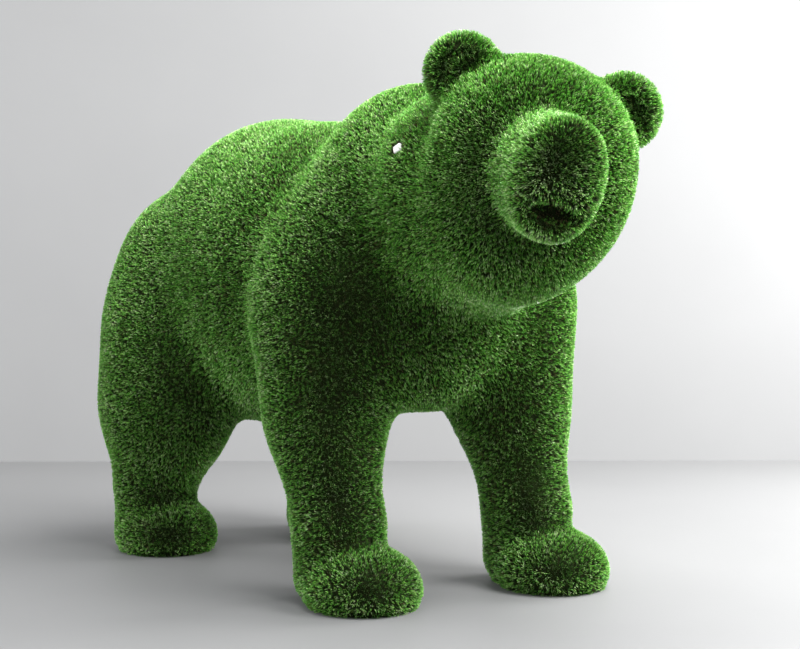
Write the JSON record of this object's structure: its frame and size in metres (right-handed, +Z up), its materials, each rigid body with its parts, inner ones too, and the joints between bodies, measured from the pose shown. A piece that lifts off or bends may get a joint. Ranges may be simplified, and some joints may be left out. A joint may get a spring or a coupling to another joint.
{
  "type": "topiary bear",
  "caption": "Life-size bear standing on all fours with its head turned to its right, covered all over in short artificial turf.",
  "frame": {"origin": "on the floor, under the middle of the figure's bounding box", "axes": "+Z up, the bear walks towards -Y, its left side is towards +X"},
  "size_m": [0.9128, 1.9942, 1.4059],
  "materials": {
    "turf": "short green artificial turf, blades of about 20 mm in several greens over brown thatch"
  },
  "bodies": {
    "root": {"turf_bear": "turf"}
  },
  "joints": []
}
